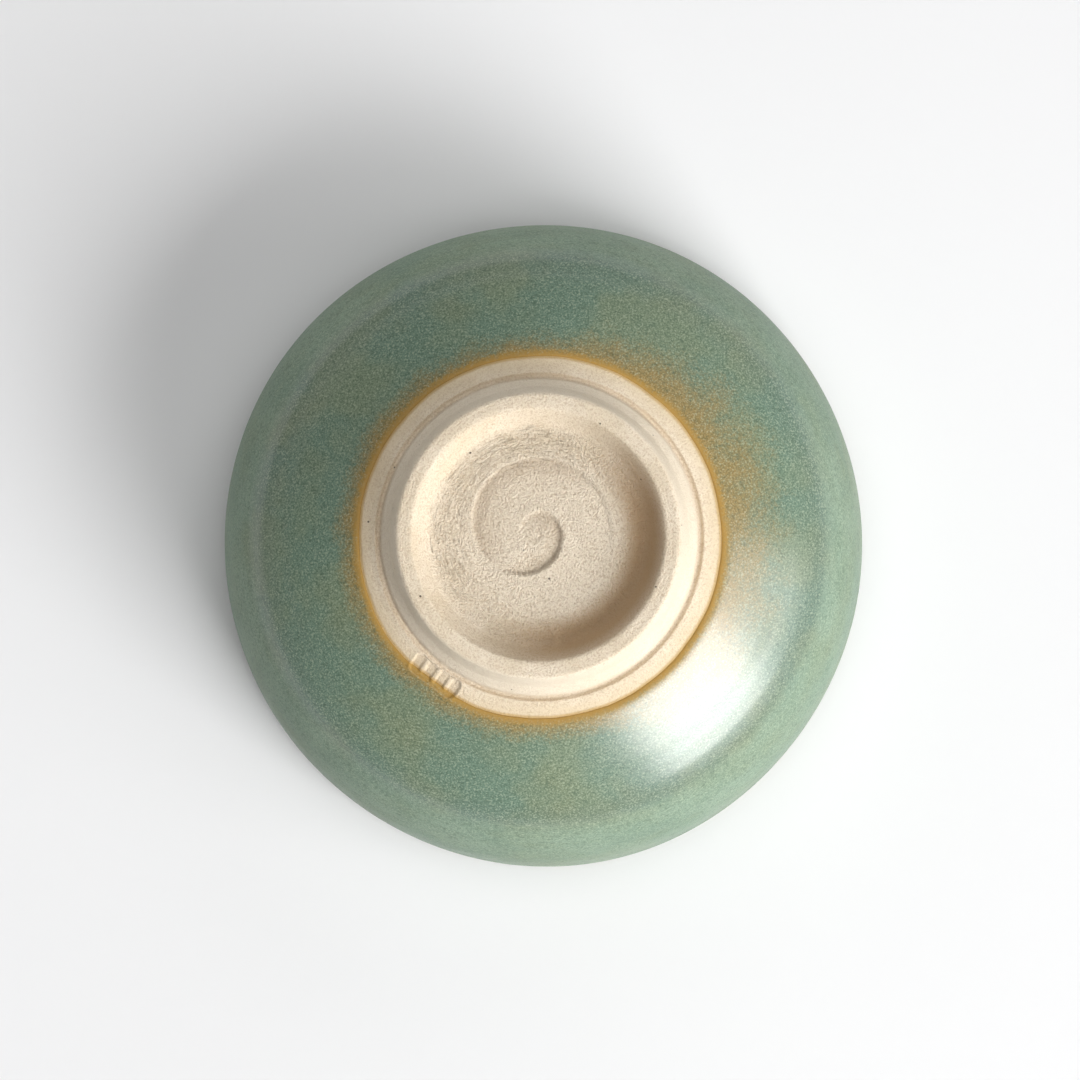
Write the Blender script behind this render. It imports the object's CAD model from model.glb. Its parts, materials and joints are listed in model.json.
import json
import math

import bpy
import numpy as np
from mathutils import Matrix, Vector

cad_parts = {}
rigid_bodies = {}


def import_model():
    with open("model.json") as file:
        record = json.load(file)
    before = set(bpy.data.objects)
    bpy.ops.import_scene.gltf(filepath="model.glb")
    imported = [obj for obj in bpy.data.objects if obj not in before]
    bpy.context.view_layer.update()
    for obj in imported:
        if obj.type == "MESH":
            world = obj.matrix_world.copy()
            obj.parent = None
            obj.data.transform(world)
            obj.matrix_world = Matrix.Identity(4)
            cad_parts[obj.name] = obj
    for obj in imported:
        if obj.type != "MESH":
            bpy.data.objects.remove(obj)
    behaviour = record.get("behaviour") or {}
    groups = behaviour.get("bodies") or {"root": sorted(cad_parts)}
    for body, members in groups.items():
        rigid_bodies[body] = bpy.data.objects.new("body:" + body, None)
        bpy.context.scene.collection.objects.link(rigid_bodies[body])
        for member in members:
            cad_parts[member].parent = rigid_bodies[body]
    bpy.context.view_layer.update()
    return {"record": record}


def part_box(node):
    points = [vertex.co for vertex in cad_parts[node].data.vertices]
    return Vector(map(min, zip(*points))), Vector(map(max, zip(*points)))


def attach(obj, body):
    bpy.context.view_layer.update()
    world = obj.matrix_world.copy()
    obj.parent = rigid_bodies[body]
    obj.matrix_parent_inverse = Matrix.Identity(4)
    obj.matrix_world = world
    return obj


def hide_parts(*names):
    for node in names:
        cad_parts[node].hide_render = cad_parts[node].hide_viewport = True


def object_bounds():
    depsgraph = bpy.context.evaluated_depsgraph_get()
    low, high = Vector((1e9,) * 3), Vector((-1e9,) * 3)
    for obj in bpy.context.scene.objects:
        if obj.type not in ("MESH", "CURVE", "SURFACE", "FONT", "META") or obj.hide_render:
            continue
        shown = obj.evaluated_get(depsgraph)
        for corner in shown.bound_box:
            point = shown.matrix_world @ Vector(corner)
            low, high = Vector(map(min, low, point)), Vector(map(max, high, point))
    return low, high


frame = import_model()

# A thrown stoneware bowl upside down on its lip: bare clay foot, speckled green glaze.
# Lengths are metres; mm turns millimetres into metres.
mm = 0.001
scene = bpy.context.scene
for old in list(bpy.data.objects):
    if old.name in ("Cube", "Light", "Camera"):
        bpy.data.objects.remove(old, do_unlink=True)

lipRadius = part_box("lip_glaze")[1].x
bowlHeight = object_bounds()[1].z
innerCoatThickness = 0.6 * mm
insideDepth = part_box("inner_glaze")[1].z - innerCoatThickness
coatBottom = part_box("outer_glaze")[0].z
ringMiddle = frame["record"]["mounts"][0]["pos_m"][0]

# The section of the fired clay. A curve's ends are radius, height and fall in degrees.
sectionLook = {
    "coat": 0.45 * mm,              # how deep the clay lies under the glazed surface
    "lipThickness": 4.0 * mm,
    "lipRoll": 2.6 * mm,
    "handleShare": 0.36,
    "bellyTop": (29.4 * mm, bowlHeight - 8.3 * mm, 20.0),
    "shoulder": (lipRadius - 9.1 * mm, bowlHeight - 20.3 * mm),
    "fallAboveShoulder": 40.0,
    "fallBelowShoulder": 57.0,
    "innerShoulder": (lipRadius - 13.4 * mm, bowlHeight - 24.4 * mm, 54.0),
    "fallAtLip": 87.5,
    "ringHalfWidth": 0.95 * mm,
    "ringEdge": 0.7 * mm,
    "ringEdgeInside": 142,          # degrees round the ring's edge where the well's side meets it
    "ringEdgeOutside": 22,          # and where the foot's side leaves it
    "footFall": 68,
    "coveRadius": 27.9 * mm,
    "coveRise": 0.9 * mm,
    "coveFall": 42,
    "grooveRadius": 28.75 * mm,
    "grooveDepth": 0.60 * mm,
    "grooveFall": 60,
    "wellRadius": 17.4 * mm,
    "wellDepth": 5.0 * mm,
    "wellRise": 0.4 * mm,
    "wellFillet": 3.2 * mm,
    "wellFilletEnd": -38,
    "fineStep": 0.36 * mm,          # between rows on the bare clay
    "coarseStep": 5.5 * mm,         # between rows that the glaze hides
}


# cubic from one end to the other: B(t) = (1-t)^3 a + 3(1-t)^2 t b + 3(1-t) t^2 c + t^3 d
def curveBetween(start, end, count=60):
    first, last = np.array(start[:2]), np.array(end[:2])
    reach = sectionLook["handleShare"] * np.linalg.norm(last - first)
    leave, arrive = math.radians(start[2]), math.radians(end[2])
    second = first + reach * np.array([math.cos(leave), -math.sin(leave)])
    third = last - reach * np.array([math.cos(arrive), -math.sin(arrive)])
    t = np.linspace(0, 1, count)[:, None]
    return ((1 - t) ** 3 * first + 3 * (1 - t) ** 2 * t * second
            + 3 * (1 - t) * t ** 2 * third + t ** 3 * last)


# circle: centre + radius (cos a, sin a), 0 degrees outwards and 90 up
def arcAround(centre, radius, fromAngle, toAngle, count=24):
    a = np.radians(np.linspace(fromAngle, toAngle, count))
    return np.array(centre) + radius * np.column_stack([np.cos(a), np.sin(a)])


# moves a line into the wall, square to itself
def sink(line, depth):
    along = np.gradient(line, axis=0)
    along /= np.linalg.norm(along, axis=1)[:, None]
    return line + depth * np.column_stack([along[:, 1], -along[:, 0]])


# the clay's section from the middle of the well, over foot, wall and lip, to the middle inside
def claySection():
    p = sectionLook
    top, wellFloor = bowlHeight, bowlHeight - p["wellDepth"]
    ringIn, ringOut = ringMiddle - p["ringHalfWidth"], ringMiddle + p["ringHalfWidth"]
    edge = p["ringEdge"]
    lip = (lipRadius, p["lipRoll"], p["fallAtLip"])
    outside = np.vstack([curveBetween(p["bellyTop"], (*p["shoulder"], p["fallAboveShoulder"]))[:-1],
                         curveBetween((*p["shoulder"], p["fallBelowShoulder"]), lip)])
    outside = sink(outside, p["coat"])
    innerLip = (lipRadius - p["lipThickness"], p["lipRoll"], p["fallAtLip"])
    inside = np.vstack([curveBetween((0, insideDepth, 0), p["innerShoulder"])[:-1],
                        curveBetween(p["innerShoulder"], innerLip)])
    inside = sink(inside, -p["coat"])[::-1]
    inside[-1, 0] = 0
    half = p["lipThickness"] / 2
    rim = arcAround((lipRadius - half, half), half - p["coat"], 0, -180)
    well = curveBetween((0, wellFloor + p["wellRise"], 0), (p["wellRadius"], wellFloor, 0))
    fillet = p["wellFillet"]
    corner = arcAround((p["wellRadius"], wellFloor + fillet), fillet, -90, p["wellFilletEnd"])
    crestIn = arcAround((ringIn, top - edge), edge, p["ringEdgeInside"], 90)
    crestOut = arcAround((ringOut, top - edge), edge, 90, p["ringEdgeOutside"])
    bandTop = outside[0, 1]
    cove = curveBetween((*crestOut[-1], p["footFall"]),
                        (p["coveRadius"], bandTop + p["coveRise"], p["coveFall"]))
    groove = curveBetween((*cove[-1], p["grooveFall"]),
                          (p["grooveRadius"], bandTop - p["grooveDepth"], 0), 12)
    return np.vstack([well, corner, crestIn, crestOut, cove[1:], groove[1:], outside, rim[1:-1], inside])


# a dense, evenly walked line: distance along it, radius, height and outward normal
class Line:
    def __init__(self, points):
        step = np.r_[0, np.cumsum(np.linalg.norm(np.diff(points, axis=0), axis=1))]
        keep = np.r_[True, np.diff(step) > 1e-7]
        self.s = np.arange(0, step[-1], 0.05 * mm)
        r = np.interp(self.s, step[keep], points[keep, 0])
        z = np.interp(self.s, step[keep], points[keep, 1])
        soft = np.hanning(9) / np.hanning(9).sum()      # takes the corners off
        self.r, self.z = (np.convolve(np.pad(v, 4, "reflect", reflect_type="odd"), soft, "valid")
                          for v in (r, z))
        dr, dz = np.gradient(self.r), np.gradient(self.z)
        size = np.hypot(dr, dz)
        self.nr, self.nz = -dz / size, dr / size
        self.crest = self.s[np.argmax(self.z)]
        self.lip = self.s[np.argmin(self.z)]

    def at(self, s):
        return [np.interp(s, self.s, v) for v in (self.r, self.z, self.nr, self.nz)]

    # where the outside of the wall has this radius
    def radiusOutside(self, radius):
        part = (self.s > self.crest) & (self.s < self.lip)
        return np.interp(radius, self.r[part], self.s[part])

    # where the outside or the inside of the wall is this high
    def heightOutside(self, height):
        part = (self.s > self.radiusOutside(30 * mm)) & (self.s < self.lip)
        return np.interp(-height, -self.z[part], self.s[part])

    def heightInside(self, height):
        part = self.s > self.lip
        return np.interp(height, self.z[part], self.s[part])


clay = Line(claySection())

# Columns round the bowl, drawn together beside the maker's mark so that its edges come out crisp.
roundLook = {"columns": 600, "markAngle": math.radians(-126.8), "crowding": 0.55}


# theta = t - c sin(t - t0): close columns at t0, wider ones opposite
def columnAngles(count):
    t = np.linspace(0, 2 * math.pi, count, endpoint=False)
    return t - roundLook["crowding"] * np.sin(t - roundLook["markAngle"])


def smoothStep(x):
    x = np.clip(x, 0, 1)
    return x * x * (3 - 2 * x)


def bell(x):
    return np.exp(-x * x)


# What the potter's hands and tools left in the clay
handLook = {
    "outOfRound": ((2, 0.17 * mm, 2.9), (3, 0.16 * mm, -1.9), (5, 0.09 * mm, 0.6)),
    "spiralCentre": (-0.45 * mm, 0.75 * mm),
    "spiralInner": 4.2 * mm,
    "spiralSpread": 8.9 * mm,
    "spiralClosing": 3.7 * mm,      # how far it winds in during its first turn
    "spiralDepth": 0.70 * mm,
    "spiralLip": 0.34 * mm,         # width of the step at the line
    "spiralEnd": 17 * mm,
    "glazeLine": 32.25 * mm,
    "glazeWander": ((1, 0.14, 0.4), (3, 0.07, 1.1), (8, 0.05, 2.0), (17, 0.04, 0.3), (41, 0.018, 4.0)),
    "shoulderLine": 50.6 * mm,
    "pits": 110,
    "chips": 46,
}


# radius of the spiral line at so many degrees clockwise from +X:
# inner radius, less a steady winding in before -20 degrees, plus a smooth opening after it
def spiralRadius(turned):
    p = handLook
    opening = smoothStep((turned + 20) / 290)
    closing = p["spiralClosing"] * np.clip((-20 - turned) / 360, 0, 1)
    return p["spiralInner"] - closing + p["spiralSpread"] * opening


# how strongly the line is cut: two rises, a fade at its end, a weak stretch and a weaker tail
def spiralStrength(turned):
    rising = 0.3 * smoothStep((turned + 400) / 60) + 0.7 * smoothStep((turned + 190) / 150)
    fading = 1 - smoothStep((turned - 300) / 130)
    weakStretch = 1 - 0.55 * bell((turned - 138) / 22)
    tail = 1 - 0.5 * smoothStep((turned - 285) / 40)
    return rising * fading * weakStretch * tail


# sum over the turns of strength times: a dip just inside the line that dies away exponentially,
# and a lower berm just outside it
def spiralCut(x, y):
    p = handLook
    cx, cy = p["spiralCentre"]
    radius = np.hypot(x - cx, y - cy)
    clockwise = np.degrees(np.arctan2(-(y - cy), x - cx)) % 360
    lift = np.zeros_like(radius)
    for turn in (-720, -360, 0, 360):
        turned = clockwise + turn
        away = radius - spiralRadius(turned)
        step = smoothStep((away + 0.12 * mm) / p["spiralLip"])
        inside = -np.exp(np.minimum(away, 0) / (3.8 * mm)) * (1 - step)
        outside = 0.35 * np.exp(-np.maximum(away, 0) / (1.6 * mm)) * step
        lift += p["spiralDepth"] * spiralStrength(turned) * (inside + outside)
    return lift * (radius < p["spiralEnd"])


# The mark: a blank cartouche with three plain bars
markLook = {
    "radius": 30.75 * mm, "halfLength": 4.9 * mm, "halfWidth": 1.85 * mm, "corner": 1.2 * mm,
    "depth": 0.34 * mm, "rim": 0.07 * mm, "barHeight": 0.26 * mm, "barHalfWidth": 0.42 * mm,
    "bars": ((-2.6 * mm, 0.75 * mm), (0.0, 1.05 * mm), (2.6 * mm, 0.75 * mm)),
}
markTowards = np.array([math.cos(roundLook["markAngle"]), math.sin(roundLook["markAngle"])])
markCentre = markTowards * markLook["radius"]


# signed distance to a rounded box sets the recess; distance to a capsule sets each bar
def makersMark(x, y):
    p = markLook
    ux, uy = markTowards
    out = (x - markCentre[0]) * ux + (y - markCentre[1]) * uy
    side = (x - markCentre[0]) * -uy + (y - markCentre[1]) * ux
    dx = np.abs(side) - p["halfLength"] + p["corner"]
    dy = np.abs(out) - p["halfWidth"] + p["corner"]
    edge = np.hypot(np.maximum(dx, 0), np.maximum(dy, 0))
    edge += np.minimum(np.maximum(dx, dy), 0) - p["corner"]
    lift = -p["depth"] * (1 - smoothStep((edge + 0.3 * mm) / (0.35 * mm)))
    lift += p["rim"] * bell((edge - 0.25 * mm) / (0.25 * mm))
    for middle, half in p["bars"]:
        capsule = np.hypot(side - middle, np.maximum(np.abs(out) - half, 0)) - p["barHalfWidth"]
        lift += p["barHeight"] * (1 - smoothStep((capsule + 0.2 * mm) / (0.45 * mm)))
    return lift


# all that stands proud of or dips into the plain turned clay, as one height over the surface:
# the spiral, rings and lines as bells across the section, cosine ridges, small dents and the mark
def clayRelief(s, theta):
    p = handLook
    r, z, nr, nz = clay.at(s)
    x, y = r * np.cos(theta), r * np.sin(theta)
    bare = 1 - smoothStep((s - lineAt(theta)) / (1.5 * mm))
    onWell = 1 - smoothStep((s - 18 * mm) / (2 * mm))
    lift = spiralCut(x, y) * onWell
    centre = np.hypot(x - p["spiralCentre"][0], y - p["spiralCentre"][1])
    lift -= 0.05 * mm * bell((centre - 15.2 * mm) / (0.22 * mm)) * onWell
    lift -= 0.03 * mm * bell((centre - 17.0 * mm) / (0.18 * mm)) * onWell
    # turning lines: cosines of the distance along the section, drifting slowly round the bowl
    for wave, height, drift, phase in ((0.9, 0.010, 1, 0.0), (1.7, 0.016, 2, 1.3), (3.1, 0.022, 1, 2.1)):
        lift += height * mm * np.cos(2 * math.pi * s / (wave * mm) + drift * theta + phase) * bare
    # the foot's outside: one faint ledge and a second tool line
    rootDistance = s - clay.radiusOutside(26.6 * mm)
    lift -= 0.07 * mm * bell(rootDistance / (0.35 * mm))
    lift += 0.05 * mm * bell((rootDistance - 0.9 * mm) / (0.5 * mm))
    # the wall: broad finger ridges, and the line where the rib stopped at the shoulder
    onWall = smoothStep((s - lineAt(theta)) / (3 * mm))
    onWall *= 1 - smoothStep((s - clay.heightOutside(9 * mm)) / (6 * mm))
    lift += onWall * mm * (0.020 * np.cos(2 * math.pi * s / (7.3 * mm) + theta)
                           + 0.010 * np.cos(2 * math.pi * s / (3.4 * mm) - theta + 1.0))
    fromShoulder = s - clay.radiusOutside(p["shoulderLine"]) - 0.25 * mm * np.sin(theta + 0.6)
    lift -= 0.05 * mm * bell(fromShoulder / (0.5 * mm))
    lift += 0.06 * mm * bell((fromShoulder - 2.0 * mm) / (1.6 * mm))
    # pits in the bare clay and chips on the ring's inner edge, each a small bell-shaped dent
    dents = np.random.default_rng(11)
    for i in range(p["pits"]):
        place, angle = dents.uniform(2 * mm, clay.radiusOutside(31.8 * mm)), dents.uniform(0, 2 * math.pi)
        width, depth = dents.uniform(0.14, 0.30) * mm, dents.uniform(0.05, 0.16) * mm
        lift -= dent(s, theta, r, place, angle, width, width, depth)
    ringEdge = clay.crest - 2 * sectionLook["ringHalfWidth"]
    for i in range(p["chips"]):
        angle = math.pi - dents.normal(0.15, 0.75)
        place = ringEdge + dents.normal(0, 0.22) * mm
        width, long = dents.uniform(0.12, 0.22) * mm, dents.uniform(0.2, 0.55) * mm
        depth = dents.uniform(0.06, 0.18) * mm
        lift -= dent(s, theta, r, place, angle, width, long, depth)
    return lift + makersMark(x, y) * ((s > clay.crest) & (s < clay.lip))


# depth times a bell along the section and a bell round the bowl
def dent(s, theta, r, place, angle, width, long, depth):
    turn = (theta - angle + math.pi) % (2 * math.pi) - math.pi
    return depth * np.exp(-((s - place) / width) ** 2 - (r * turn / long) ** 2)


# where the glaze stops, along the section: a circle that wanders by sums of cosines
def lineAt(theta):
    wander = sum(size * np.cos(count * theta + phase) for count, size, phase in handLook["glazeWander"])
    turn = (theta - roundLook["markAngle"] + math.pi) % (2 * math.pi) - math.pi
    creep = 0.55 * mm * bell(turn * 30 / 4.2)           # glaze runs a little into the mark
    return clay.radiusOutside(handLook["glazeLine"]) + wander * mm - creep


# places points: section + normal * height, then the slightly oval, hand-thrown plan
def placed(s, theta, height):
    r, z, nr, nz = clay.at(s)
    r, z = r + nr * height, z + nz * height
    low = smoothStep(1 - z / bowlHeight)
    oval = sum(size * np.cos(count * theta + phase) for count, size, phase in handLook["outOfRound"])
    r = r * (1 + oval * low / lipRadius)
    return np.stack([r * np.cos(theta), r * np.sin(theta), z], axis=-1)


# rows of rings of points to one closed mesh; a wrapped one joins its last row to its first,
# any other is closed on the axis at both ends
def turnedMesh(name, rings, wrapped):
    count, around = rings.shape[:2]
    index = np.arange(count * around).reshape(count, around)
    low, high = (index, np.roll(index, -1, 0)) if wrapped else (index[:-1], index[1:])
    faces = np.stack([low, high, np.roll(high, -1, 1), np.roll(low, -1, 1)], -1).reshape(-1, 4).tolist()
    points = rings.reshape(-1, 3)
    if not wrapped:
        poles = np.array([[0, 0, rings[0, :, 2].mean()], [0, 0, rings[-1, :, 2].mean()]])
        points = np.vstack([points, poles])
        first, last = count * around, count * around + 1
        faces += np.stack([np.full(around, first), index[0], np.roll(index[0], -1)], -1).tolist()
        faces += np.stack([index[-1], np.full(around, last), np.roll(index[-1], -1)], -1).tolist()
    mesh = bpy.data.meshes.new(name)
    mesh.from_pydata(points.tolist(), [], faces)
    mesh.shade_smooth()
    piece = bpy.data.objects.new(name, mesh)
    scene.collection.objects.link(piece)
    return piece


def setAttribute(piece, name, values):
    whole = np.zeros(len(piece.data.vertices), np.float32)
    whole[:values.size] = values.ravel()
    piece.data.attributes.new(name, "FLOAT", "POINT").data.foreach_set("value", whole)


# the clay body: section plus relief, rows fine where it is bare and coarse where glaze covers it
def makeBody():
    theta = columnAngles(roundLook["columns"])
    p = sectionLook
    bareEnd = clay.radiusOutside(34 * mm)
    fine = np.arange(0.35 * mm, bareEnd, p["fineStep"])
    markStart, markEnd = clay.radiusOutside(28.9 * mm), clay.radiusOutside(32.7 * mm)
    extra = np.arange(markStart, markEnd, p["fineStep"] / 2)
    hidden = np.arange(bareEnd, clay.s[-1] - 2 * mm, p["coarseStep"])
    rows = np.unique(np.round(np.r_[fine[(fine < markStart) | (fine > markEnd)], extra, hidden], 7))
    s, t = np.meshgrid(rows, theta, indexing="ij")
    relief = clayRelief(s, t)
    relief[rows > bareEnd] = 0
    piece = turnedMesh("thrownBody", placed(s, t, relief), wrapped=False)
    setAttribute(piece, "sunken", np.clip(-relief / mm, 0, 1))
    setAttribute(piece, "fromLine", (s - lineAt(t)) / mm)
    print("clay body:", len(piece.data.polygons), "faces")
    return piece


# one coat of glaze: skin over the clay, its thickness rising from nothing as a quarter ellipse
coatLook = {
    "thickness": 0.40 * mm, "roll": 1.5 * mm, "bead": 0.015 * mm, "skinRows": 132, "backRows": 6,
    "lipLift": 0.12 * mm, "lipRows": 44, "insideRows": 90, "insideColumns": 360, "keyed": 0.12 * mm,
}


def makeOuterCoat():
    p = coatLook
    theta = columnAngles(roundLook["columns"])
    share = np.linspace(0, 1, p["skinRows"]) ** 1.7     # rows crowd towards the glaze line
    end = clay.heightOutside(3.2 * mm)
    line = lineAt(theta)
    s = line + share[:, None] * (end - line)
    t = np.broadcast_to(theta, s.shape)
    away = s - line
    rise = np.clip(away / p["roll"], 0, 1)
    thickness = p["thickness"] * np.sqrt(1 - (1 - rise) ** 2)
    thickness += p["bead"] * bell((away - 0.8 * mm) / (0.5 * mm))
    skin = placed(s, t, clayRelief(s, t) + thickness)
    backShare = np.linspace(1, 0, p["backRows"])
    sBack = line + 0.05 * mm + backShare[:, None] * (end - line - 0.05 * mm)
    back = placed(sBack, np.broadcast_to(theta, sBack.shape), -np.full(sBack.shape, p["keyed"]) * 3)
    piece = turnedMesh("outerCoat", np.concatenate([skin, back]), wrapped=True)
    setAttribute(piece, "fromLine", away / mm)
    print("outer coat:", len(piece.data.polygons), "faces")
    return piece


# the band over the lip: a thin second coat, edges wandering by sums of cosines on both sides
def makeLipCoat():
    p = coatLook
    theta = columnAngles(roundLook["columns"])
    wave = mm * (0.55 * np.cos(3 * theta + 1.0) + 0.35 * np.cos(5 * theta) + 0.18 * np.cos(11 * theta + 2.0)
                 + 0.10 * np.cos(23 * theta))
    start = clay.heightOutside(coatBottom - 0.6 * mm) + wave
    end = clay.heightInside(coatBottom - 0.6 * mm) + 0.8 * np.roll(wave, 90)
    share = np.linspace(0, 1, p["lipRows"])[:, None]
    s = start + share * (end - start)
    edge = np.minimum(s - start, end - s)
    rise = np.clip(edge / (0.9 * mm), 0, 1)
    height = p["thickness"] - 0.05 * mm + (p["lipLift"] + 0.05 * mm) * np.sqrt(1 - (1 - rise) ** 2)
    over = smoothStep(edge / (3 * mm))
    height = height * (1 - over) + over * (p["thickness"] + 0.05 * mm)
    t = np.broadcast_to(theta, s.shape)
    skin = placed(s, t, height)
    back = placed(s[::-4], t[::-4], np.full(s[::-4].shape, -p["keyed"]))
    piece = turnedMesh("lipCoat", np.concatenate([skin, back]), wrapped=True)
    print("lip coat:", len(piece.data.polygons), "faces")
    return piece


# the poured inside: cosine finger rings winding up to a small bell-shaped button in the middle
def makeInnerCoat():
    p = coatLook
    theta = np.linspace(0, 2 * math.pi, p["insideColumns"], endpoint=False)
    start = clay.heightInside(2.8 * mm)
    end = clay.s[-1]
    sBack = np.linspace(end - 0.4 * mm, start, 24)
    sSkin = np.linspace(start, end - 0.4 * mm, p["insideRows"])
    s, t = np.meshgrid(sSkin, theta, indexing="ij")
    toMiddle = end - s
    rings = 0.09 * mm * np.cos(2 * math.pi * toMiddle / (6.5 * mm) + t) * smoothStep(toMiddle / (9 * mm))
    rings *= smoothStep((s - start) / (8 * mm))
    button = 0.5 * mm * bell(toMiddle / (5.0 * mm)) * (1 + 0.3 * np.cos(t - toMiddle / (1.5 * mm)))
    skin = placed(s, t, p["thickness"] + rings + button)
    sB, tB = np.meshgrid(sBack, theta, indexing="ij")
    back = placed(sB, tB, np.full(sB.shape, -p["keyed"]))
    piece = turnedMesh("innerCoat", np.concatenate([back, skin]), wrapped=False)
    print("inner coat:", len(piece.data.polygons), "faces")
    return piece


# Shader helpers: a node with its inputs filled, and short forms for sums
def addNode(tree, kind, inputs=None, **settings):
    made = tree.nodes.new("ShaderNode" + kind)
    for name, value in settings.items():
        setattr(made, name, value)
    for key, value in (inputs or {}).items():
        if isinstance(value, bpy.types.NodeSocket):
            tree.links.new(value, made.inputs[key])
        else:
            made.inputs[key].default_value = value
    return made


def calc(tree, operation, *values):
    return addNode(tree, "Math", dict(enumerate(values)), operation=operation).outputs[0]


def vector(tree, operation, *values):
    made = addNode(tree, "VectorMath", dict(enumerate(values)), operation=operation)
    return made.outputs["Value"] if operation in ("LENGTH", "DOT_PRODUCT", "DISTANCE") else made.outputs[0]


def between(tree, value, low, high, toLow=0.0, toHigh=1.0, smooth=True):
    kind = "SMOOTHSTEP" if smooth else "LINEAR"
    made = addNode(tree, "MapRange", {"Value": value, "From Min": low, "From Max": high, "To Min": toLow,
                                      "To Max": toHigh}, interpolation_type=kind)
    return made.outputs["Result"]


def mixed(tree, share, first, second):
    made = addNode(tree, "Mix", data_type="RGBA")
    for socket, value in zip((made.inputs[0], made.inputs[6], made.inputs[7]), (share, first, second)):
        if isinstance(value, bpy.types.NodeSocket):
            tree.links.new(value, socket)
        else:
            socket.default_value = (*value, 1.0) if isinstance(value, tuple) else value
    return made.outputs[2]


def noise(tree, place, size, detail=2.0, rough=0.5):
    made = addNode(tree, "TexNoise", {"Vector": place, "Scale": 1 / size, "Detail": detail,
                                      "Roughness": rough})
    return made.outputs["Fac"]


# one inside the band of radii that starts over the first pair and ends over the second
def ringBand(tree, radius, start, full, fades, end):
    return calc(tree, "MULTIPLY", between(tree, radius, start, full), between(tree, radius, end, fades))


# object coordinates, height, distance from the axis, and a direction round it without a seam
def places(tree):
    here = addNode(tree, "TexCoord").outputs["Object"]
    split = addNode(tree, "SeparateXYZ", {0: here}).outputs
    flat = addNode(tree, "CombineXYZ", {0: split[0], 1: split[1]}).outputs[0]
    return here, split[2], vector(tree, "LENGTH", flat), vector(tree, "NORMALIZE", flat)


def newMaterial(name):
    made = bpy.data.materials.new(name)
    made.use_nodes = True
    return made, made.node_tree, made.node_tree.nodes["Principled BSDF"]


def join(tree, shader, **sockets):
    for name, value in sockets.items():
        socket = shader.inputs[name.replace("_", " ")]
        if isinstance(value, bpy.types.NodeSocket):
            tree.links.new(value, socket)
        else:
            socket.default_value = value


clayLook = {
    "buff": (0.76, 0.655, 0.50),
    "pale": (0.815, 0.715, 0.57),
    "dust": (0.55, 0.41, 0.27),
    "toasted": (0.72, 0.585, 0.385),
    "shadowed": (0.42, 0.30, 0.19),
    "smooth": (0.80, 0.715, 0.58),
    "floor": (0.95, 0.84, 0.68),
    "ochre": (0.52, 0.33, 0.11),
    "speck": (0.055, 0.035, 0.022),
    "corner": (0.47, 0.30, 0.155),
    "cornerTowards": (0.86, -0.50, 0.0),
    "dragTowards": (-0.75, 0.66, 0.0),
    "grain": 0.36 * mm,
    "drag": 0.15 * mm,
}


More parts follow.
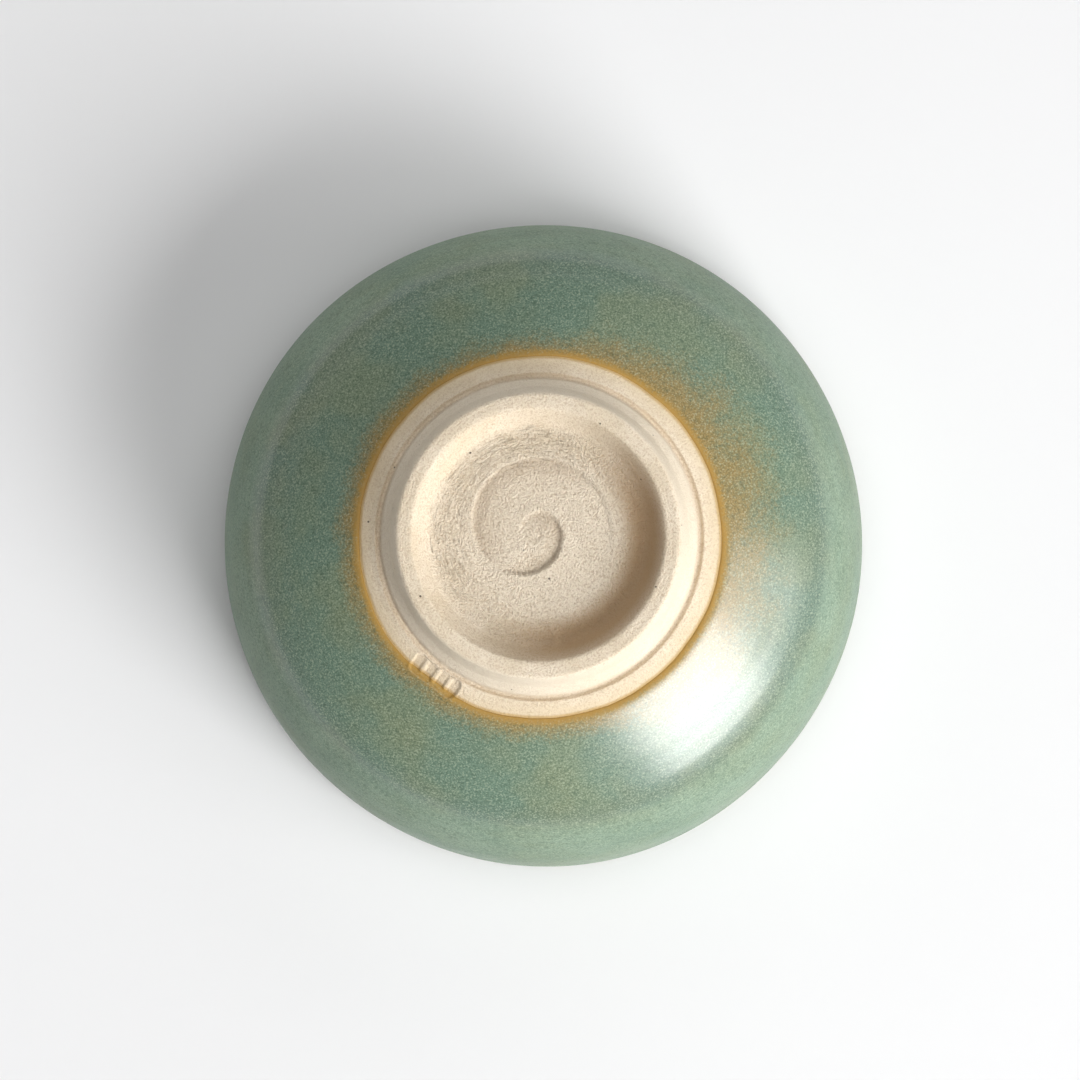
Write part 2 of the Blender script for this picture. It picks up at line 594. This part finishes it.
# bare fired clay: gritty buff with iron specks, drag lines in the well, toasted beside the glaze;
# the floor's, cove's and corner's tones stand in for light that the set doesn't give
def bareClay():
    p = clayLook
    made, tree, shader = newMaterial("bareFiredClay")
    here, _, radius, heading = places(tree)
    fromLine = addNode(tree, "Attribute", attribute_name="fromLine").outputs["Fac"]
    sunken = addNode(tree, "Attribute", attribute_name="sunken").outputs["Fac"]
    turned = addNode(tree, "VectorMath", {0: heading, 3: 6.0}, operation="SCALE").outputs[0]
    turnSplit = addNode(tree, "SeparateXYZ", {0: turned}).outputs
    dragPlace = addNode(tree, "CombineXYZ", {0: calc(tree, "DIVIDE", radius, p["drag"]), 1: turnSplit[0],
                                             2: turnSplit[1]}).outputs[0]
    drags = noise(tree, dragPlace, 1.0, 2.0, 0.6)
    grain = noise(tree, here, p["grain"], 1.0, 0.6)
    fineGrain = noise(tree, here, 0.17 * mm, 1.0)
    cloud = noise(tree, here, 7 * mm, 3.0)
    colour = mixed(tree, between(tree, cloud, 0.35, 0.65), p["buff"], p["pale"])
    colour = mixed(tree, between(tree, radius, 17.0 * mm, 12.0 * mm, 0.0, 0.75), colour, p["floor"])
    colour = mixed(tree, between(tree, grain, 0.30, 0.54, 0.60, 0.0), colour, p["dust"])
    colour = mixed(tree, between(tree, fineGrain, 0.34, 0.54, 0.34, 0.0), colour, p["dust"])
    toast = between(tree, fromLine, -3.8, 0.1, 0.0, 0.60)
    colour = mixed(tree, toast, colour, p["toasted"])
    colour = mixed(tree, between(tree, fromLine, -0.75, -0.15, 0.0, 0.75), colour, p["ochre"])
    # smooth pale clay on the foot's cove, a browner line in the groove, a browner corner in the well
    cove = ringBand(tree, radius, 24.6 * mm, 25.6 * mm, 28.0 * mm, 28.5 * mm)
    colour = mixed(tree, calc(tree, "MULTIPLY", cove, 0.6), colour, p["smooth"])
    groove = ringBand(tree, radius, 28.0 * mm, 28.5 * mm, 29.0 * mm, 29.5 * mm)
    colour = mixed(tree, calc(tree, "MULTIPLY", groove, 0.18), colour, p["shadowed"])
    side = vector(tree, "DOT_PRODUCT", heading, p["cornerTowards"])
    corner = ringBand(tree, radius, 13.5 * mm, 18.0 * mm, 20.2 * mm, 23.2 * mm)
    corner = calc(tree, "MULTIPLY", corner, between(tree, side, -0.1, 0.8, 0.0, 0.84))
    colour = mixed(tree, corner, colour, p["corner"])
    colour = mixed(tree, between(tree, sunken, 0.10, 0.6, 0.0, 0.35), colour, p["shadowed"])
    cells = addNode(tree, "TexVoronoi", {"Vector": here, "Scale": 1 / (2.3 * mm), "Randomness": 1.0})
    pick = addNode(tree, "SeparateColor", {0: cells.outputs["Color"]}).outputs
    speckSize = calc(tree, "DIVIDE", cells.outputs["Distance"], calc(tree, "ADD", pick[2], 0.30))
    speck = calc(tree, "MULTIPLY", between(tree, speckSize, 0.085, 0.045),
                 calc(tree, "GREATER_THAN", pick[0], 0.72))
    colour = mixed(tree, calc(tree, "MULTIPLY", speck, 0.85), colour, p["speck"])
    fine = addNode(tree, "TexVoronoi", {"Vector": here, "Scale": 1 / (0.62 * mm)})
    finePick = addNode(tree, "SeparateColor", {0: fine.outputs["Color"]}).outputs
    peppered = calc(tree, "MULTIPLY", between(tree, fine.outputs["Distance"], 0.24, 0.10),
                    calc(tree, "GREATER_THAN", finePick[1], 0.66))
    colour = mixed(tree, calc(tree, "MULTIPLY", peppered, 0.45), colour, p["dust"])
    dragShare = between(tree, drags, 0.30, 0.42, 1.0, 0.0)
    dragged = ringBand(tree, radius, 12.0 * mm, 14.5 * mm, 18.8 * mm, 20.0 * mm)
    dragSide = vector(tree, "DOT_PRODUCT", heading, p["dragTowards"])
    dragged = calc(tree, "MULTIPLY", dragged, between(tree, dragSide, 0.0, 0.8))
    dragShare = calc(tree, "MULTIPLY", dragShare, calc(tree, "ADD", dragged, 0.22))
    colour = mixed(tree, calc(tree, "MULTIPLY", dragShare, 0.20), colour, p["shadowed"])
    onFoot = between(tree, radius, 18.0 * mm, 20.5 * mm, 1.0, 0.40)
    relief = calc(tree, "ADD", grain, calc(tree, "MULTIPLY", fineGrain, 0.55))
    relief = calc(tree, "SUBTRACT", relief, calc(tree, "MULTIPLY", dragShare, 0.6))
    relief = calc(tree, "SUBTRACT", relief, calc(tree, "MULTIPLY", speck, 0.6))
    relief = calc(tree, "MULTIPLY", relief, onFoot)
    bump = addNode(tree, "Bump", {"Height": relief, "Strength": 1.0, "Distance": 0.50 * mm})
    join(tree, shader, Base_Color=colour, Roughness=between(tree, grain, 0.2, 0.8, 0.84, 0.96),
         Normal=bump.outputs[0])
    shader.inputs["Specular IOR Level"].default_value = 0.25
    return made


glazeLook = {
    "green": (0.190, 0.250, 0.160),
    "blueGreen": (0.155, 0.238, 0.172),
    "olive": (0.218, 0.245, 0.138),
    "mint": (0.262, 0.350, 0.262),
    "amber": (0.40, 0.235, 0.055),
    "brown": (0.34, 0.225, 0.072),
    "dark": (0.040, 0.078, 0.052),
    "light": (0.52, 0.58, 0.42),
    "speckle": 0.33 * mm,
    "haloNarrow": 5.5,          # mm that the halo reaches, all round
    "haloWide": 10.0,           # mm more, on its wide side
    "haloTowards": (0.995, 0.10, 0.0),
    "roughness": (0.42, 0.56),
    "shoulderRadius": 51.2 * mm,
}


# the green itself: patches, speckle of two sizes, and paler where the glaze lies thick low down
def greenOf(tree, here, pale):
    p = glazeLook
    patches = noise(tree, here, 16 * mm, 3.0, 0.55)
    green = mixed(tree, between(tree, patches, 0.40, 0.62), p["blueGreen"], p["green"])
    elsewhere = vector(tree, "ADD", here, (0.31, 0.17, 0.05))
    oliveShare = between(tree, noise(tree, elsewhere, 13 * mm, 2.0), 0.52, 0.70)
    green = mixed(tree, calc(tree, "MULTIPLY", oliveShare, 0.35), green, p["olive"])
    green = mixed(tree, pale, green, p["mint"])
    return green


# dark and light crystals of two sizes over a glaze colour
def speckled(tree, here, colour):
    p = glazeLook
    grains = noise(tree, here, p["speckle"], 2.0, 0.65)
    coarse = noise(tree, here, 0.85 * mm, 2.0)
    colour = mixed(tree, between(tree, grains, 0.52, 0.68, 0.0, 0.42), colour, p["light"])
    colour = mixed(tree, between(tree, grains, 0.49, 0.33, 0.0, 0.44), colour, p["dark"])
    colour = mixed(tree, between(tree, coarse, 0.46, 0.32, 0.0, 0.28), colour, p["dark"])
    return colour, grains, coarse


# a matte crystalline glaze with a glassy coat of the given share over it
def finishGlaze(tree, shader, colour, grains, coarse, gloss, coatRoughness=0.27):
    relief = calc(tree, "ADD", calc(tree, "MULTIPLY", grains, 0.6), coarse)
    bump = addNode(tree, "Bump", {"Height": relief, "Strength": 0.9, "Distance": 0.085 * mm})
    join(tree, shader, Base_Color=colour, Normal=bump.outputs[0],
         Roughness=between(tree, grains, 0.3, 0.7, *glazeLook["roughness"]))
    shader.inputs["IOR"].default_value = 1.5
    shader.inputs["Specular IOR Level"].default_value = 0.08
    shader.inputs["Coat IOR"].default_value = 1.85
    shader.inputs["Coat Roughness"].default_value = coatRoughness
    join(tree, shader, Coat_Weight=gloss)


def outerGlaze():
    p = glazeLook
    made, tree, shader = newMaterial("outerGreenGlaze")
    here, height, radius, heading = places(tree)
    fromLine = addNode(tree, "Attribute", attribute_name="fromLine").outputs["Fac"]
    wander = calc(tree, "MULTIPLY", calc(tree, "SUBTRACT", noise(tree, here, 9 * mm, 2.0), 0.5), 3.0 * mm)
    fromShoulder = calc(tree, "SUBTRACT", calc(tree, "ADD", radius, wander), p["shoulderRadius"])
    belowShoulder = between(tree, fromShoulder, -0.8 * mm, 2.8 * mm, 0.0, 0.9)
    mottle = between(tree, noise(tree, here, 11 * mm, 3.0, 0.6), 0.36, 0.64, 0.58, 1.0)
    lowDown = between(tree, height, 24 * mm, 6 * mm)
    mottle = calc(tree, "MULTIPLY", mottle, between(tree, lowDown, 0.0, 1.0, 1.0, 0.62, False))
    throwing = noise(tree, addNode(tree, "CombineXYZ", {2: height}).outputs[0], 1.3 * mm, 2.0)
    mottle = calc(tree, "MULTIPLY", mottle, between(tree, throwing, 0.3, 0.7, 0.78, 1.0))
    colour = greenOf(tree, here, calc(tree, "MULTIPLY", belowShoulder, mottle))
    shoulderBand = calc(tree, "MULTIPLY", between(tree, radius, 46 * mm, p["shoulderRadius"], 0.0, 0.22),
                        between(tree, radius, p["shoulderRadius"] + 0.9 * mm, p["shoulderRadius"], 0.0, 1.0))
    colour = mixed(tree, shoulderBand, colour, p["dark"])
    # halo: brown close to the foot, breaking up in grains as it fades into the green
    towards = vector(tree, "DOT_PRODUCT", heading, p["haloTowards"])
    reach = calc(tree, "ADD", p["haloNarrow"],
                 calc(tree, "MULTIPLY", p["haloWide"], between(tree, towards, 0.1, 1.0)))
    patch = noise(tree, here, 5 * mm, 3.0)
    grainy = noise(tree, here, 0.5 * mm, 2.0)
    faded = calc(tree, "DIVIDE", fromLine, reach)
    faded = calc(tree, "ADD", faded, calc(tree, "MULTIPLY", calc(tree, "SUBTRACT", patch, 0.5), 0.9))
    faded = calc(tree, "ADD", faded, calc(tree, "MULTIPLY", calc(tree, "SUBTRACT", grainy, 0.5), 0.8))
    colour = mixed(tree, between(tree, faded, 1.0, 0.0, 0.0, 0.88), colour, p["brown"])
    colour, grains, coarse = speckled(tree, here, colour)
    ragged = calc(tree, "ADD", fromLine, calc(tree, "MULTIPLY", calc(tree, "SUBTRACT", grainy, 0.5), 1.6))
    colour = mixed(tree, between(tree, ragged, 1.7, 0.1, 0.0, 0.88), colour, p["amber"])
    gloss = between(tree, radius, p["shoulderRadius"] - 2.2 * mm, p["shoulderRadius"] + 2.6 * mm, 1.0, 0.0)
    gloss = calc(tree, "MAXIMUM", gloss, calc(tree, "MULTIPLY", lowDown, 0.40))
    gloss = calc(tree, "MULTIPLY", gloss, between(tree, fromLine, 0.4, 2.4, 0.06, 1.0))
    finishGlaze(tree, shader, colour, grains, coarse, gloss)
    return made


def innerGlaze():
    made, tree, shader = newMaterial("innerGreenGlaze")
    here, height = places(tree)[:2]
    pale = between(tree, height, 40 * mm, 14 * mm, 0.1, 0.8)
    colour, grains, coarse = speckled(tree, here, greenOf(tree, here, pale))
    finishGlaze(tree, shader, colour, grains, coarse, 0.8)
    return made


def lipGlaze():
    p = glazeLook
    made, tree, shader = newMaterial("lipPaleGlaze")
    here, height = places(tree)[:2]
    colour, grains, coarse = speckled(tree, here, greenOf(tree, here, 0.75))
    thin = calc(tree, "ADD", height, calc(tree, "MULTIPLY", noise(tree, here, 2.5 * mm, 3.0), 1.2 * mm))
    colour = mixed(tree, between(tree, thin, 2.0 * mm, 0.6 * mm, 0.0, 0.7), colour, p["brown"])
    finishGlaze(tree, shader, colour, grains, coarse, 0.15)
    return made


def dress(piece, finish, node):
    piece.data.materials.append(finish)
    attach(piece, "root")
    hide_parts(node)


dress(makeBody(), bareClay(), "stoneware_body")
dress(makeOuterCoat(), outerGlaze(), "outer_glaze")
dress(makeInnerCoat(), innerGlaze(), "inner_glaze")
dress(makeLipCoat(), lipGlaze(), "lip_glaze")


# The set: a pale table that glows far off to meet a pale horizon, one big soft light low at the front
# right with a weaker wing beside it, two fills that don't show in reflections, one light overhead
setLook = {
    "table": (0.82, 0.82, 0.825),
    "tableSize": 14.0,
    "fill": 0.05,
    "horizon": 0.82,
    "farGlow": 0.60,
    # a light's turn from +X and rise above the table in degrees, its distance, width, height and power
    "lights": {"softKey": (-45.0, 32.0, 2.20, 1.20, 1.38, 52.5),
               "softWing": (-14.0, 31.0, 2.20, 0.85, 1.30, 9.5),
               "backFill": (65.0, 30.0, 2.20, 1.80, 1.30, 7.0),
               "sideFill": (140.0, 30.0, 2.20, 1.80, 1.30, 2.0),
               "overhead": (0.0, 88.0, 1.60, 1.20, 1.20, 11.3)},
    "lens": 159.0,
    "cameraPlace": (0.0135, -0.0265, 0.900),
    "aim": (-0.70 * mm, 1.06 * mm, 0.0),
}


def makeLight(name, turn, rise, distance, width, height, power):
    turn, rise = math.radians(turn), math.radians(rise)
    data = bpy.data.lights.new(name, "AREA")
    data.shape, data.size, data.size_y, data.energy = "RECTANGLE", width, height, power
    lamp = bpy.data.objects.new(name, data)
    scene.collection.objects.link(lamp)
    towards = Vector((math.cos(turn) * math.cos(rise), math.sin(turn) * math.cos(rise), math.sin(rise)))
    lamp.location = towards * distance + Vector((0, 0, bowlHeight / 2))
    lamp.rotation_euler = towards.to_track_quat("Z", "Y").to_euler()
    lamp.visible_camera = False
    lamp.visible_glossy = "Fill" not in name


def makeSet():
    p = setLook
    half = p["tableSize"] / 2
    mesh = bpy.data.meshes.new("table")
    corners = [(-half, -half, 0), (half, -half, 0), (half, half, 0), (-half, half, 0)]
    mesh.from_pydata(corners, [], [(0, 1, 2, 3)])
    table = bpy.data.objects.new("table", mesh)
    scene.collection.objects.link(table)
    made, tree, shader = newMaterial("paleTable")
    here = addNode(tree, "TexCoord").outputs["Object"]
    cloud = noise(tree, here, 60 * mm, 2.0)
    colour = mixed(tree, between(tree, cloud, 0.3, 0.7, 0.0, 0.04), p["table"], (0.70, 0.70, 0.71))
    far = between(tree, vector(tree, "LENGTH", here), 0.40, 2.4, 0.0, p["farGlow"])
    join(tree, shader, Base_Color=colour, Roughness=0.8, Emission_Strength=far)
    shader.inputs["Specular IOR Level"].default_value = 0.15
    shader.inputs["Emission Color"].default_value = (1.0, 1.0, 1.0, 1.0)
    mesh.materials.append(made)
    for name, values in p["lights"].items():
        makeLight(name, *values)
    world = bpy.data.worlds.new("evenFill")
    scene.world = world
    world.use_nodes = True
    sky = world.node_tree
    upward = addNode(sky, "SeparateXYZ", {0: addNode(sky, "TexCoord").outputs["Object"]}).outputs[2]
    glow = between(sky, upward, 0.05, 0.18, p["horizon"], p["fill"])
    sky.nodes["Background"].inputs["Color"].default_value = (1.0, 1.0, 1.0, 1.0)
    sky.links.new(glow, sky.nodes["Background"].inputs["Strength"])
    data = bpy.data.cameras.new("overhead")
    data.lens = p["lens"]
    data.sensor_width = 36.0
    camera = bpy.data.objects.new("overhead", data)
    scene.collection.objects.link(camera)
    camera.location = p["cameraPlace"]
    away = (Vector(p["cameraPlace"]) - Vector(p["aim"])).normalized()
    right = Vector((0, 1, 0)).cross(away).normalized()
    camera.rotation_euler = Matrix((right, away.cross(right), away)).transposed().to_euler()
    scene.camera = camera
    scene.view_settings.view_transform = "Standard"
    scene.view_settings.look = "None"


makeSet()
print("set ready")
